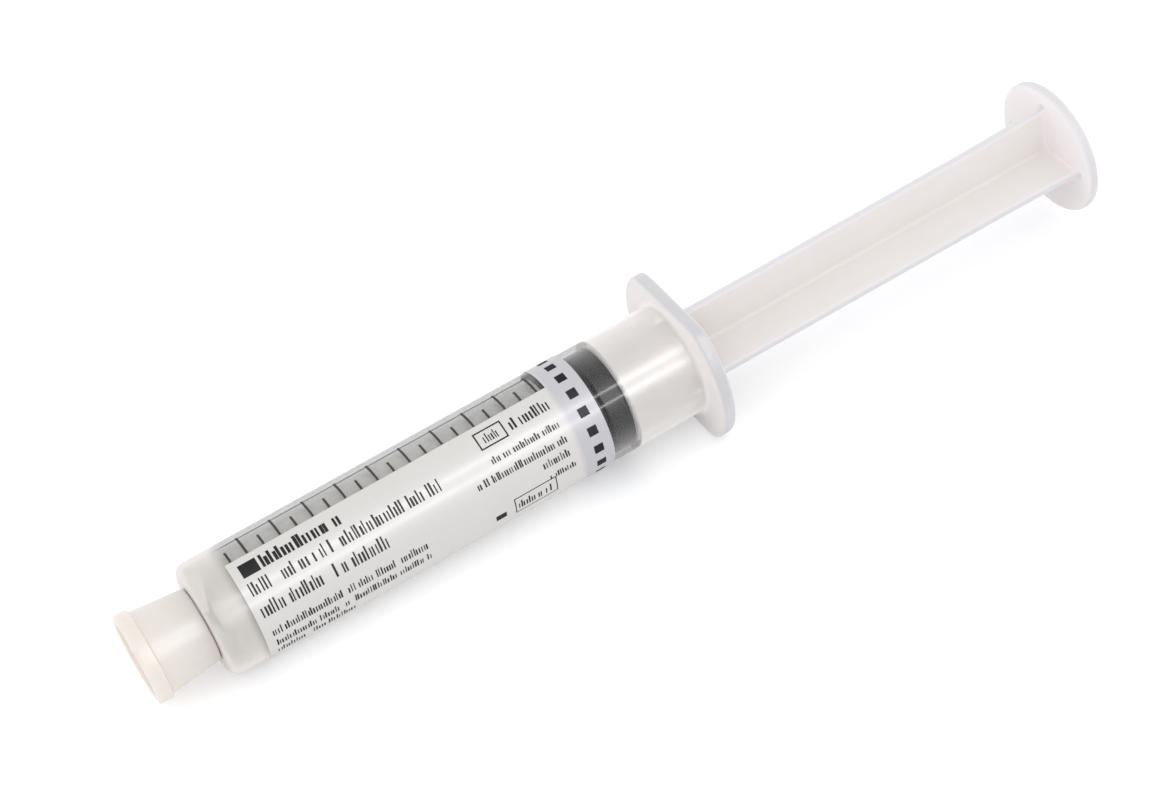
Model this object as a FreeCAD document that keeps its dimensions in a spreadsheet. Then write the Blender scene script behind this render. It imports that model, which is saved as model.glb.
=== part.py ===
import FreeCAD, Part
import os

import Sketcher
from FreeCAD import Placement, Rotation, Vector

# Pre-filled 10 mL flush syringe, lying along X.
# The origin is the centre of the luer tip's end face, the thumb pad is at +X,
# and +Z is the outward normal of one of the two flats of the finger flange.

doc = FreeCAD.newDocument("flush_syringe")

# Driving sizes in millimetres, degrees and millilitres
sizes = [
    ("tip_reach", 8.9, "luer tip's end to the barrel's front face"),
    ("tip_dia", 3.97, "male luer diameter at its end"),
    ("tip_taper", 0.06, "luer taper, diameter over length"),
    ("lumen_dia", 2.1, "channel through the tip"),
    ("tip_bevel", 0.15, "bevel of the tip's end edge"),
    ("collar_bore_dia", 8.0, "inside of the locking collar, at the thread's root"),
    ("collar_wall", 0.95, "wall of the locking collar"),
    ("collar_setback", 2.1, "tip's end to the collar's mouth"),
    ("collar_bevel", 0.2, "bevel of the collar's mouth"),
    ("bore_dia", 15.67, "inside of the barrel"),
    ("barrel_wall", 0.915, "wall of the barrel"),
    ("barrel_len", 80.3, "front face to the flange's rear face"),
    ("shoulder_round", 1.45, "rounding of the barrel's front corner"),
    ("front_wall", 1.6, "front wall at the channel"),
    ("cone_rise", 2.1, "depth of the conical floor of the bore"),
    ("lead_in", 0.45, "chamfer at the rear of the bore"),
    ("stop_inset", 2.6, "rear face to the middle of the retaining ring"),
    ("stop_width", 1.5, "foot of the retaining ring"),
    ("stop_rise", 0.12, "height of the retaining ring"),
    ("flange_reach", 4.55, "barrel's outside to the finger flange's round ends"),
    ("flats_reach", 1.9, "barrel's outside to the finger flange's flats"),
    ("flange_thick", 2.1, "finger flange's thickness"),
    ("flange_bevel", 0.45, "bevels of the flange's rim"),
    ("flange_root_bevel", 0.6, "bevel between flange and barrel"),
    ("zero_gap", 0.4, "conical floor to the zero line of the scale"),
    ("fill_ml", 10.2, "reading at the stopper's front ring"),
    ("stopper_len", 9.7, "front ring to the stopper's rear face"),
    ("ring_gap", 0.03, "stopper's rings to the bore"),
    ("ring_bevel", 0.3, "bevel beside each ring"),
    ("front_ring", 1.9, "width of the front ring"),
    ("middle_ring_at", 3.5, "start of the middle ring"),
    ("middle_ring", 1.2, "width of the middle ring"),
    ("rear_ring", 3.3, "width of the rear ring"),
    ("groove_depth", 0.55, "depth of the grooves between the rings"),
    ("nose_land", 0.5, "ring's edge to the foot of the nose cone"),
    ("nose_flat_dia", 2.4, "flat at the tip of the nose cone"),
    ("neck_dia", 4.4, "neck of the rod's knob"),
    ("neck_len", 2.4, "length of that neck"),
    ("knob_dia", 7.0, "rod's knob"),
    ("knob_len", 2.2, "straight length of the knob"),
    ("knob_nose", 1.3, "cone in front of the knob"),
    ("knob_nose_dia", 4.0, "front end of that cone"),
    ("knob_gap", 0.1, "knob to the socket in the stopper"),
    ("disc_gap", 0.435, "disc behind the stopper to the bore"),
    ("disc_thick", 0.9, "thickness of that disc"),
    ("rod_len", 81.45, "front of the disc to the thumb pad's rear face"),
    ("rib_thick", 1.3, "thickness of the rod's ribs"),
    ("rib_gap", 0.485, "ribs to the bore at the disc"),
    ("rib_ring_gap", 0.115, "ribs to the retaining ring with the stopper home"),
    ("rib_flare", 0.35, "how far the ribs widen on each side up to the thumb pad"),
    ("rib_free_len", 13.0, "thumb pad to the place where that widening starts"),
    ("rib_root_round", 0.7, "rounding where the ribs cross"),
    ("rib_edge_bevel", 0.25, "bevels of the ribs' outer edges"),
    ("pad_dia", 21.5, "thumb pad"),
    ("pad_thick", 1.8, "thumb pad's thickness"),
    ("pad_bevel", 0.45, "bevels of the pad's edge"),
    ("grip_ring_dia", 8.0, "innermost grip groove of the thumb pad"),
    ("grip_ring_step", 6.0, "diameter step from groove to groove"),
    ("grip_ring_count", 2, "grip grooves"),
    ("grip_ring_width", 0.7, "width of a grip groove"),
    ("grip_ring_depth", 0.25, "depth of a grip groove"),
    ("label_inset", 5.7, "barrel's front face to the label's edge"),
    ("label_len", 56.6, "label along the barrel"),
    ("label_thick", 0.1, "thickness of the label"),
    ("label_band", 5.0, "closed band at the label's rear"),
    ("window_span", 76.3, "clear window round the barrel"),
    ("window_side", 20.5, "angle of the window's far edge above the flange's plane"),
    ("cap_overhang", 1.6, "cap's end beyond the tip's end"),
    ("cap_gap", 0.2, "cap's mouth to the barrel's front face"),
    ("skirt_gap", 0.09, "cap's skirt to the collar"),
    ("skirt_wall", 0.58, "wall of the cap's skirt at its mouth"),
    ("skirt_flare", 0.83, "how far the skirt widens on each side up to the rim"),
    ("cap_rim_reach", 0.45, "how far the rim stands out from the skirt"),
    ("cap_rim_width", 2.2, "width of the rim"),
    ("cap_rim_bevel", 0.35, "bevels of the rim"),
    ("cap_rim_wall", 1.3, "wall round the recess in the cap's end"),
    ("cap_recess_depth", 0.5, "depth of that recess"),
    ("seal_gap", 0.3, "cap's floor to the tip's end"),
    ("hub_gap", 0.65, "cap's inner hub to the collar's bore"),
    ("hub_short", 1.6, "end of the hub to the collar's floor"),
    ("luer_gap", 0.04, "hub's socket to the luer tip"),
]

sheet = doc.addObject("Spreadsheet::Sheet", "Dims")
for row, (alias, size, note) in enumerate(sizes, start=1):
    sheet.set(f"A{row}", str(size))
    sheet.setAlias(f"A{row}", alias)
    sheet.set(f"B{row}", note)
doc.recompute()


def sized(text):
    """A formula of the sheet's names, with the sheet's own name put before each."""
    names = sorted((alias for alias, _, _ in sizes), key=len, reverse=True)
    words = []
    for word in text.replace("(", " ( ").replace(")", " ) ").split():
        words.append(f"Dims.{word}" if word in names else word)
    return " ".join(words)


def size(text):
    return float(sheet.evalExpression(sized(text)))


def bind(thing, place, text):
    thing.setExpression(place, sized(text))


# Diameters that follow from a fit or a wall
barrelDia = "( bore_dia + 2 * barrel_wall )"
flangeDia = f"( {barrelDia} + 2 * flange_reach )"
flangeFlats = f"( {barrelDia} + 2 * flats_reach )"
collarDia = "( collar_bore_dia + 2 * collar_wall )"
discDia = "( bore_dia - 2 * disc_gap )"
ribFront = "( bore_dia - 2 * rib_gap )"
ribMiddle = "( bore_dia - 2 * stop_rise - 2 * rib_ring_gap )"
ribRear = f"( {ribMiddle} + 2 * rib_flare )"
skirtDia = f"( {collarDia} + 2 * skirt_gap )"
capMouthDia = f"( {skirtDia} + 2 * skirt_wall )"
capEndDia = f"( {capMouthDia} + 2 * skirt_flare )"
capRimDia = f"( {capEndDia} + 2 * cap_rim_reach )"

# Places along X that several pieces share
barrelRear = "( tip_reach + barrel_len )"
boreFloor = "( tip_reach + front_wall )"
coneRim = f"( {boreFloor} + cone_rise )"
millilitre = "( 4000 / ( pi * bore_dia ^ 2 ) )"
ringFront = f"( {coneRim} + zero_gap + fill_ml * {millilitre} )"
stopperNose = f"( {ringFront} - cone_rise )"
stopperRear = f"( {ringFront} + stopper_len )"
knobReach = "( neck_len + knob_len + knob_nose )"
labelFront = "( tip_reach + label_inset )"
labelRear = f"( {labelFront} + label_len )"
capEnd = "( 0 - cap_overhang )"
capMouth = "( tip_reach + cap_overhang - cap_gap )"
tipRoot = "( tip_dia + tip_reach * tip_taper )"


def newBody(name):
    body = doc.addObject("PartDesign::Body", name)
    body.Label = name
    return body


def plane(body, role):
    return next(f for f in body.Origin.OriginFeatures if f.Role == role)


def newSketch(body, role, name):
    sketch = body.newObject("Sketcher::SketchObject", name)
    sketch.AttachmentSupport = [(plane(body, role), "")]
    sketch.MapMode = "FlatFace"
    return sketch


def outline(sketch, corners):
    """A closed outline of straight lines, with each corner bound to the sheet."""
    at = [Vector(size(x), size(y), 0) for x, y in corners]
    count = len(corners)
    for i in range(count):
        sketch.addGeometry(Part.LineSegment(at[i], at[(i + 1) % count]), False)
    for i in range(count):
        sketch.addConstraint(Sketcher.Constraint("Coincident", i, 2, (i + 1) % count, 1))
    for i, corner in enumerate(corners):
        for kind, text, axis in (("DistanceX", corner[0], -2), ("DistanceY", corner[1], -1)):
            if text == "0":
                sketch.addConstraint(Sketcher.Constraint("PointOnObject", i, 1, axis))
                continue
            here = sketch.addConstraint(Sketcher.Constraint(kind, -1, 1, i, 1, size(text)))
            bind(sketch, f"Constraints[{here}]", text)


def turned(body, name, corners):
    """A solid of revolution about X from an outline of (x, radius) corners."""
    sketch = newSketch(body, "XY_Plane", name + "_profile")
    outline(sketch, corners)
    turn = body.newObject("PartDesign::Revolution", name)
    turn.Profile = sketch
    turn.ReferenceAxis = (sketch, ["H_Axis"])
    turn.Angle = 360
    doc.recompute()
    return turn


def edgesOf(feature, wanted):
    names = []
    for number, edge in enumerate(feature.Shape.Edges, start=1):
        if wanted(edge):
            names.append(f"Edge{number}")
    if not names:
        raise RuntimeError(f"no edge of {feature.Name} fits")
    return names


def circleAt(x, dia):
    """Whether an edge is the circle of this diameter about X at this place."""
    def wanted(edge):
        curve = edge.Curve
        if not isinstance(curve, Part.Circle):
            return False
        return (
            abs(curve.Center.x - size(x)) < 1e-4
            and abs(curve.Radius - size(dia) / 2) < 1e-4
            and abs(curve.Center.y) + abs(curve.Center.z) < 1e-4
        )
    return wanted


def dressed(body, name, base, kind, width, *tests):
    """A Fillet or Chamfer of this width along each edge of the base that passes a test."""
    dressing = body.newObject(f"PartDesign::{kind}", name)
    dressing.Base = (base, edgesOf(base, lambda edge: any(test(edge) for test in tests)))
    bind(dressing, "Radius" if kind == "Fillet" else "Size", width)
    doc.recompute()
    return dressing


def makeBarrel():
    """Tube, conical front wall, luer tip, locking collar and finger flange in one moulding."""
    body = newBody("barrel")
    ringAt = f"( {barrelRear} - stop_inset )"
    tube = turned(body, "tube", [
        ("0", "lumen_dia / 2"),
        ("0", "tip_dia / 2"),
        ("tip_reach", f"{tipRoot} / 2"),
        ("tip_reach", "collar_bore_dia / 2"),
        ("collar_setback", "collar_bore_dia / 2"),
        ("collar_setback", f"{collarDia} / 2"),
        ("tip_reach", f"{collarDia} / 2"),
        ("tip_reach", f"{barrelDia} / 2"),
        (barrelRear, f"{barrelDia} / 2"),
        (barrelRear, "bore_dia / 2 + lead_in"),
        (f"{barrelRear} - lead_in", "bore_dia / 2"),
        (f"{ringAt} + stop_width / 2", "bore_dia / 2"),
        (ringAt, "bore_dia / 2 - stop_rise"),
        (f"{ringAt} - stop_width / 2", "bore_dia / 2"),
        (coneRim, "bore_dia / 2"),
        (boreFloor, "lumen_dia / 2"),
    ])
    flange = newSketch(body, "YZ_Plane", "flange_profile")
    bind(flange, "AttachmentOffset.Base.z", f"{barrelRear} - flange_thick")
    across, half = size(flangeDia) / 2, size(flangeFlats) / 2
    reach = (across ** 2 - half ** 2) ** 0.5
    flange.addGeometry([
        Part.LineSegment(Vector(reach, half, 0), Vector(-reach, half, 0)),
        Part.Arc(Vector(-reach, half, 0), Vector(-across, 0, 0), Vector(-reach, -half, 0)),
        Part.LineSegment(Vector(-reach, -half, 0), Vector(reach, -half, 0)),
        Part.Arc(Vector(reach, -half, 0), Vector(across, 0, 0), Vector(reach, half, 0)),
    ], False)
    top, left, bottom, right, hole = range(5)
    middle = "( bore_dia + barrel_wall + lead_in ) / 2"
    flange.addGeometry(Part.Circle(Vector(0, 0, 0), Vector(0, 0, 1), size(middle)), False)
    flange.addConstraint([
        Sketcher.Constraint("Coincident", top, 2, left, 1),
        Sketcher.Constraint("Coincident", left, 2, bottom, 1),
        Sketcher.Constraint("Coincident", bottom, 2, right, 1),
        Sketcher.Constraint("Coincident", right, 2, top, 1),
        Sketcher.Constraint("Coincident", left, 3, -1, 1),
        Sketcher.Constraint("Coincident", right, 3, -1, 1),
        Sketcher.Constraint("Coincident", hole, 3, -1, 1),
        Sketcher.Constraint("Horizontal", top),
        Sketcher.Constraint("Horizontal", bottom),
        Sketcher.Constraint("Equal", left, right),
    ])
    roundEnd = flange.addConstraint(Sketcher.Constraint("Radius", left, across))
    bind(flange, f"Constraints[{roundEnd}]", f"{flangeDia} / 2")
    upper = flange.addConstraint(Sketcher.Constraint("DistanceY", -1, 1, top, 1, half))
    bind(flange, f"Constraints[{upper}]", f"{flangeFlats} / 2")
    lower = flange.addConstraint(Sketcher.Constraint("DistanceY", bottom, 1, -1, 1, half))
    bind(flange, f"Constraints[{lower}]", f"{flangeFlats} / 2")
    mouth = flange.addConstraint(Sketcher.Constraint("Radius", hole, size(middle)))
    bind(flange, f"Constraints[{mouth}]", middle)
    plate = body.newObject("PartDesign::Pad", "flange")
    plate.Profile = flange
    bind(plate, "Length", "flange_thick")
    doc.recompute()

    front, rear = size(f"{barrelRear} - flange_thick"), size(barrelRear)
    outside = size(f"{barrelDia} / 2 + flats_reach / 2")

    def rim(edge):
        box = edge.BoundBox
        flatEdge = box.XLength < 1e-4 and min(abs(box.XMin - front), abs(box.XMin - rear)) < 1e-4
        middlePoint = edge.valueAt((edge.FirstParameter + edge.LastParameter) / 2)
        return flatEdge and (middlePoint.y ** 2 + middlePoint.z ** 2) ** 0.5 > outside

    last = dressed(body, "flange_rim", plate, "Chamfer", "flange_bevel", rim)
    last = dressed(body, "flange_root", last, "Chamfer", "flange_root_bevel",
                   circleAt(f"{barrelRear} - flange_thick", barrelDia))
    last = dressed(body, "shoulder", last, "Fillet", "shoulder_round",
                   circleAt("tip_reach", barrelDia))
    last = dressed(body, "collar_mouth", last, "Chamfer", "collar_bevel",
                   circleAt("collar_setback", collarDia))
    dressed(body, "tip_end", last, "Chamfer", "tip_bevel", circleAt("0", "tip_dia"))
    return body


def makeLabel():
    """Printed film round the barrel, open along one side as the scale's window."""
    body = newBody("label")
    inner, outer = f"{barrelDia} / 2", f"{barrelDia} / 2 + label_thick"
    turned(body, "film", [
        (labelFront, inner), (labelFront, outer), (labelRear, outer), (labelRear, inner),
    ])
    window = newSketch(body, "XY_Plane", "window_profile")
    window.AttachmentOffset = Placement(Vector(0, 0, 0), Rotation(Vector(1, 0, 0), size("window_side")))
    bind(window, "AttachmentOffset.Rotation.Angle", "window_side")
    ahead = f"{labelFront} - label_thick"
    behind = f"{labelRear} - label_band"
    low, high = f"{barrelDia} / 2 - label_thick", f"{barrelDia} / 2 + 2 * label_thick"
    outline(window, [(ahead, low), (ahead, high), (behind, high), (behind, low)])
    cut = body.newObject("PartDesign::Groove", "window")
    cut.Profile = window
    cut.ReferenceAxis = (window, ["H_Axis"])
    bind(cut, "Angle", "window_span")
    doc.recompute()
    return body


def makeStopper():
    """Moulded rubber stopper with three sealing rings, drawn from the tip of its nose."""
    body = newBody("stopper")
    edge = "cone_rise"
    ring = "( bore_dia / 2 - ring_gap )"
    waist = f"( {ring} - groove_depth )"
    rear = f"( {edge} + stopper_len )"
    middleStart = f"( {edge} + middle_ring_at )"
    middleEnd = f"( {middleStart} + middle_ring )"
    rearStart = f"( {rear} - rear_ring )"
    socket = f"( {rear} - neck_len )"
    knobEnd = f"( {socket} - knob_len - knob_gap )"
    turned(body, "rubber", [
        ("0", "0"),
        ("0", "nose_flat_dia / 2"),
        (edge, f"{ring} - nose_land"),
        (f"{edge} + ring_bevel", ring),
        (f"{edge} + front_ring", ring),
        (f"{edge} + front_ring + ring_bevel", waist),
        (f"{middleStart} - ring_bevel", waist),
        (middleStart, ring),
        (middleEnd, ring),
        (f"{middleEnd} + ring_bevel", waist),
        (f"{rearStart} - ring_bevel", waist),
        (rearStart, ring),
        (rear, ring),
        (rear, "neck_dia / 2 + knob_gap"),
        (f"{socket} + knob_gap", "neck_dia / 2 + knob_gap"),
        (f"{socket} + knob_gap", "knob_dia / 2 + knob_gap"),
        (knobEnd, "knob_dia / 2 + knob_gap"),
        (f"{knobEnd} - knob_nose", "knob_nose_dia / 2 + knob_gap"),
        (f"{knobEnd} - knob_nose", "0"),
    ])
    bind(body, "Placement.Base.x", stopperNose)
    return body


def makeRod():
    """Plunger rod: knob, disc, four tapering ribs and thumb pad in one moulding."""
    body = newBody("plunger_rod")
    ribStart = f"( {knobReach} + disc_thick )"
    padRear = f"( {knobReach} + rod_len )"
    padFront = f"( {padRear} - pad_thick )"
    turned(body, "front", [
        ("0", "0"),
        ("0", "knob_nose_dia / 2"),
        ("knob_nose", "knob_dia / 2"),
        ("knob_nose + knob_len", "knob_dia / 2"),
        ("knob_nose + knob_len", "neck_dia / 2"),
        (knobReach, "neck_dia / 2"),
        (knobReach, f"{discDia} / 2"),
        (ribStart, f"{discDia} / 2"),
        (ribStart, "0"),
    ])
    for name, role in (("level_rib", "XY_Plane"), ("upright_rib", "XZ_Plane")):
        web = newSketch(body, role, name + "_profile")
        inDisc, inPad = f"{ribStart} - disc_thick / 2", f"{padFront} + pad_thick / 2"
        widens = f"{padFront} - rib_free_len"
        outline(web, [
            (inDisc, f"0 - {ribFront} / 2"),
            (widens, f"0 - {ribMiddle} / 2"),
            (inPad, f"0 - {ribRear} / 2"),
            (inPad, f"{ribRear} / 2"),
            (widens, f"{ribMiddle} / 2"),
            (inDisc, f"{ribFront} / 2"),
        ])
        rib = body.newObject("PartDesign::Pad", name)
        rib.Profile = web
        rib.SideType = "Symmetric"
        bind(rib, "Length", "rib_thick")
        doc.recompute()
    pad = turned(body, "thumb_pad", [
        (padFront, "0"), (padFront, "pad_dia / 2"), (padRear, "pad_dia / 2"), (padRear, "0"),
    ])

    half = size("rib_thick") / 2

    def straight(edge):
        return isinstance(edge.Curve, Part.Line) and edge.BoundBox.XLength > size("rib_free_len") / 2

    def crossing(edge):
        box = edge.BoundBox
        return straight(edge) and max(abs(box.YMax), abs(box.YMin)) < half * 1.01 \
            and max(abs(box.ZMax), abs(box.ZMin)) < half * 1.01

    last = dressed(body, "rib_roots", pad, "Fillet", "rib_root_round", crossing)

    def outerEdge(edge):
        box = edge.BoundBox
        return straight(edge) and max(abs(box.YMax), abs(box.YMin),
                                      abs(box.ZMax), abs(box.ZMin)) > size(ribFront) / 2 - 0.01

    last = dressed(body, "rib_edges", last, "Chamfer", "rib_edge_bevel", outerEdge)
    dressed(body, "pad_edge", last, "Chamfer", "pad_bevel",
            circleAt(padFront, "pad_dia"), circleAt(padRear, "pad_dia"))
    for ring in range(int(size("grip_ring_count"))):
        groove = newSketch(body, "XY_Plane", f"grip_{ring + 1}_profile")
        at = f"( grip_ring_dia / 2 + {ring} * grip_ring_step / 2 )"
        outline(groove, [
            (f"{padRear} - grip_ring_depth", at),
            (f"{padRear} + grip_ring_depth", f"{at} - grip_ring_width / 2"),
            (f"{padRear} + grip_ring_depth", f"{at} + grip_ring_width / 2"),
        ])
        cut = body.newObject("PartDesign::Groove", f"grip_{ring + 1}")
        cut.Profile = groove
        cut.ReferenceAxis = (groove, ["H_Axis"])
        cut.Angle = 360
        doc.recompute()
    bind(body, "Placement.Base.x", f"{stopperRear} - {knobReach}")
    return body


def makeCap():
    """Tip cap, drawn from its closed end: a skirt over the collar and a hub on the luer tip."""
    body = newBody("tip_cap")
    floor = "( cap_overhang - seal_gap )"
    skirt = f"{skirtDia} / 2"
    recess = f"( {capRimDia} / 2 - cap_rim_wall )"
    hub = "( collar_bore_dia / 2 - hub_gap )"
    hubEnd = "( cap_overhang + tip_reach - hub_short )"
    cap = turned(body, "moulding", [
        ("cap_recess_depth", "0"),
        ("cap_recess_depth", recess),
        ("0", recess),
        ("0", f"{capRimDia} / 2"),
        ("cap_rim_width", f"{capRimDia} / 2"),
        ("cap_rim_width", f"{capEndDia} / 2"),
        (capMouth, f"{capMouthDia} / 2"),
        (capMouth, skirt),
        (floor, skirt),
        (floor, hub),
        (hubEnd, hub),
        (hubEnd, "( tip_dia + ( tip_reach - hub_short ) * tip_taper ) / 2 + luer_gap"),
        (floor, "( tip_dia - seal_gap * tip_taper ) / 2 + luer_gap"),
        (floor, "0"),
    ])
    dressed(body, "rim_edges", cap, "Chamfer", "cap_rim_bevel",
            circleAt("0", capRimDia), circleAt("cap_rim_width", capRimDia))
    bind(body, "Placement.Base.x", capEnd)
    return body


def makeSaline():
    """Saline from the channel in the tip to the stopper's nose."""
    body = newBody("saline_fill")
    turned(body, "liquid", [
        ("0", "0"),
        ("0", "lumen_dia / 2"),
        (boreFloor, "lumen_dia / 2"),
        (coneRim, "bore_dia / 2"),
        (ringFront, "bore_dia / 2"),
        (ringFront, "bore_dia / 2 - ring_gap - nose_land"),
        (stopperNose, "nose_flat_dia / 2"),
        (stopperNose, "0"),
    ])
    return body


pieces = [makeBarrel(), makeLabel(), makeStopper(), makeRod(), makeCap(), makeSaline()]
doc.recompute()

for thing in doc.Objects:
    if "Invalid" in thing.State or "Error" in thing.State:
        raise RuntimeError(f"{thing.Name} is {thing.State}")

os.makedirs("parts", exist_ok=True)
for piece in pieces:
    shape = piece.Shape
    if shape.isNull() or not shape.isValid() or len(shape.Solids) != 1:
        raise RuntimeError(f"{piece.Label} isn't one valid solid")
    box = shape.BoundBox
    print(f"{piece.Label}: {shape.Volume:.2f} mm3, X {box.XMin:.2f} to {box.XMax:.2f}, "
          f"Y {box.YMin:.2f} to {box.YMax:.2f}, Z {box.ZMin:.2f} to {box.ZMax:.2f}")
    shape.exportStep(f"parts/{piece.Label}.step")
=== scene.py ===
import math

import bmesh
import bpy
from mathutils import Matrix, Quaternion, Vector


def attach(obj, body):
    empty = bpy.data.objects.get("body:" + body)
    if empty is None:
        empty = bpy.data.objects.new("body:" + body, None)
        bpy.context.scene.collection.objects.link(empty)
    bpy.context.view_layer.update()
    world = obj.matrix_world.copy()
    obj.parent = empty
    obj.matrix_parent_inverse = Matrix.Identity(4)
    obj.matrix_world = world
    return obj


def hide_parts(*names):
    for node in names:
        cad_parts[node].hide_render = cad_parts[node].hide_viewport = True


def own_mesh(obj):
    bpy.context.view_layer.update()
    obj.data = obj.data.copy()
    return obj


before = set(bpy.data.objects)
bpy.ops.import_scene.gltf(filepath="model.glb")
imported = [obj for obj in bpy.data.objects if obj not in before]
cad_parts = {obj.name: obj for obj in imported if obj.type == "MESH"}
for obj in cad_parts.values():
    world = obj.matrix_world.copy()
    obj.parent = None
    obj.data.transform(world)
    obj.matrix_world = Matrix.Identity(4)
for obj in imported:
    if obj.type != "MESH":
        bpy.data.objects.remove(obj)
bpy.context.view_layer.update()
mm = 0.001  # lengths below are in millimetres and angles in degrees
tiny = 1e-6
scene = bpy.context.scene
print("frame loaded:", ", ".join(sorted(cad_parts)))


# Shader maths: a socket that can be added, multiplied and compared
class Wire:
    def __init__(self, tree, socket):
        self.tree = tree
        self.socket = socket

    def maths(self, operation, first, second):
        return self.tree.node("ShaderNodeMath", {"operation": operation}, {0: first, 1: second})

    def __add__(self, other):
        return self.maths("ADD", self, other)

    def __radd__(self, other):
        return self.maths("ADD", other, self)

    def __sub__(self, other):
        return self.maths("SUBTRACT", self, other)

    def __rsub__(self, other):
        return self.maths("SUBTRACT", other, self)

    def __mul__(self, other):
        return self.maths("MULTIPLY", self, other)

    def __rmul__(self, other):
        return self.maths("MULTIPLY", other, self)

    def __truediv__(self, other):
        return self.maths("DIVIDE", self, other)

    def __pow__(self, other):
        return self.maths("POWER", self, other)

    def __lt__(self, other):
        return self.maths("LESS_THAN", self, other)


class Graph:
    def __init__(self, nodes, links):
        self.nodes = nodes
        self.links = links

    def node(self, kind, settings, inputs, output=0):
        made = self.nodes.new(kind)
        for key, value in settings.items():
            setattr(made, key, value)
        for key, value in inputs.items():
            if isinstance(value, Wire):
                self.links.new(value.socket, made.inputs[key])
            else:
                made.inputs[key].default_value = value
        return Wire(self, made.outputs[output]) if made.outputs else None

    # One for what the camera sees, straight, in a reflection or through a clear piece
    def looked(self):
        rays = ("Is Camera Ray", "Is Glossy Ray", "Is Transmission Ray")
        straight, mirrored, through = (
            self.node("ShaderNodeLightPath", {}, {}, ray) for ray in rays)
        return straight + mirrored + through


class Paint(Graph):
    def __init__(self, name):
        self.material = bpy.data.materials.new(name)
        self.material.use_nodes = True
        tree = self.material.node_tree
        tree.nodes.clear()
        super().__init__(tree.nodes, tree.links)

    def noise(self, cells, stretch=(1, 1, 1), detail=3.0):
        here = self.node("ShaderNodeTexCoord", {}, {}, "Object")
        spread = self.node("ShaderNodeMapping", {}, {"Vector": here, "Scale": stretch})
        return self.node("ShaderNodeTexNoise", {}, {
            "Vector": spread, "Scale": cells, "Detail": detail})

    # Rises from nought to one between two places along the syringe
    def along(self, start, end):
        here = self.node("ShaderNodeTexCoord", {}, {}, "Object")
        place = self.node("ShaderNodeSeparateXYZ", {}, {"Vector": here}, "X")
        return self.node("ShaderNodeMapRange", {"interpolation_type": "SMOOTHSTEP"}, {
            "Value": place, "From Min": start * mm, "From Max": end * mm})

    def kept(self, name):
        return self.node("ShaderNodeAttribute", {"attribute_name": name}, {}, "Fac")

    def facing(self):
        return self.node("ShaderNodeLayerWeight", {}, {"Blend": 0.5}, "Facing")

    def mix(self, share, low, high):
        return self.node("ShaderNodeMix", {"data_type": "RGBA"}, {0: share, 6: low, 7: high}, 2)

    # The colour with its painted light, where the look has it: a band along the syringe painted
    # lighter or darker, and painted shade on the outer edges
    def withPaintedLight(self, colour, look):
        if "band" in look:
            start, end, shade = look["band"]
            colour = self.mix(self.along(start, end), colour, shade)
        if "rim" in look:
            colour = self.mix(self.kept("rim"), colour, look["rim"])
        return colour

    def bump(self, height, depth):
        return self.node("ShaderNodeBump", {}, {"Height": height, "Distance": depth * mm})

    def finish(self, values):
        shader = self.node("ShaderNodeBsdfPrincipled", {}, values)
        self.node("ShaderNodeOutputMaterial", {}, {"Surface": shader})
        return self.material


# A colour as a paint program gives it, from 0 to 255, as the linear one that a shader takes
def tone(red, green, blue):
    channels = []
    for value in (red, green, blue):
        share = value / 255
        channels.append(share / 12.92 if share <= 0.04045 else ((share + 0.055) / 1.055) ** 2.4)
    return (*channels, 1.0)


# Milky mouldings: a faint drift of colour, long flow lines from filling the mould,
# and a skin that is smoother in some places than in others
milky = {"flowStretch": (0.12, 1, 1), "driftShare": 0.6, "flowRelief": 0.6, "bending": 1.5}


def milkyPlastic(name, look):
    paint = Paint(name)
    drift = paint.noise(look["driftCells"])
    flow = paint.noise(look["flowCells"], stretch=milky["flowStretch"], detail=4.0)
    skin = paint.noise(look["skinCells"], detail=2.0)
    cloud = drift * milky["driftShare"] + flow * (1 - milky["driftShare"])
    grain = flow * milky["flowRelief"] + skin * (1 - milky["flowRelief"])
    colour = paint.mix(cloud, look["shade"], look["light"])
    return paint.finish({
        "Base Color": paint.withPaintedLight(colour, look),
        "Roughness": (skin - 0.5) * look["roughnessSpread"] + look["roughness"],
        "IOR": milky["bending"],
        "Specular IOR Level": look["gloss"],
        "Subsurface Weight": look["glow"],
        "Subsurface Radius": look["glowReach"],
        "Subsurface Scale": 1.0,
        "Normal": paint.bump(grain, look["relief"]),
    })


rodLook = {
    "light": tone(233, 228, 225), "shade": tone(226, 221, 218),
    "driftCells": 60.0, "flowCells": 900.0, "skinCells": 2500.0,
    "roughness": 0.55, "roughnessSpread": 0.16, "relief": 0.012, "gloss": 0.16,
    "glow": 0.45, "glowReach": (0.0024, 0.0022, 0.0020),
    # painted light: the band paints the thumb pad lighter and a touch pinker, as if lit through
    # the plastic; rim paints shade on the outer edges of ribs and pad
    "band": (153.6, 155.4, tone(243, 237, 237)), "rim": tone(218, 215, 217),
}
rodPlastic = milkyPlastic("rodPlastic", rodLook)

capLook = {
    "light": tone(240, 230, 221), "shade": tone(227, 218, 209),
    "driftCells": 90.0, "flowCells": 1100.0, "skinCells": 2600.0,
    "roughness": 0.42, "roughnessSpread": 0.16, "relief": 0.014, "gloss": 0.22,
    "glow": 0.5, "glowReach": (0.0026, 0.0022, 0.0019),
}
capPlastic = milkyPlastic("capPlastic", capLook)


# Clear plastic and liquid: more of them is seen edge on, so they turn denser there.
# A zone is where it starts and is full along the syringe, its colour, and how much denser and
# rougher it is, as where the mould is matt; the saline's zone is painted shade, darker towards the
# stopper, standing in for the dark rubber seen in the liquid
clear = {"flowStretch": (0.1, 1, 1), "hazeStretch": (0.4, 1, 1), "flowRoughness": 0.08}


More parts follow.
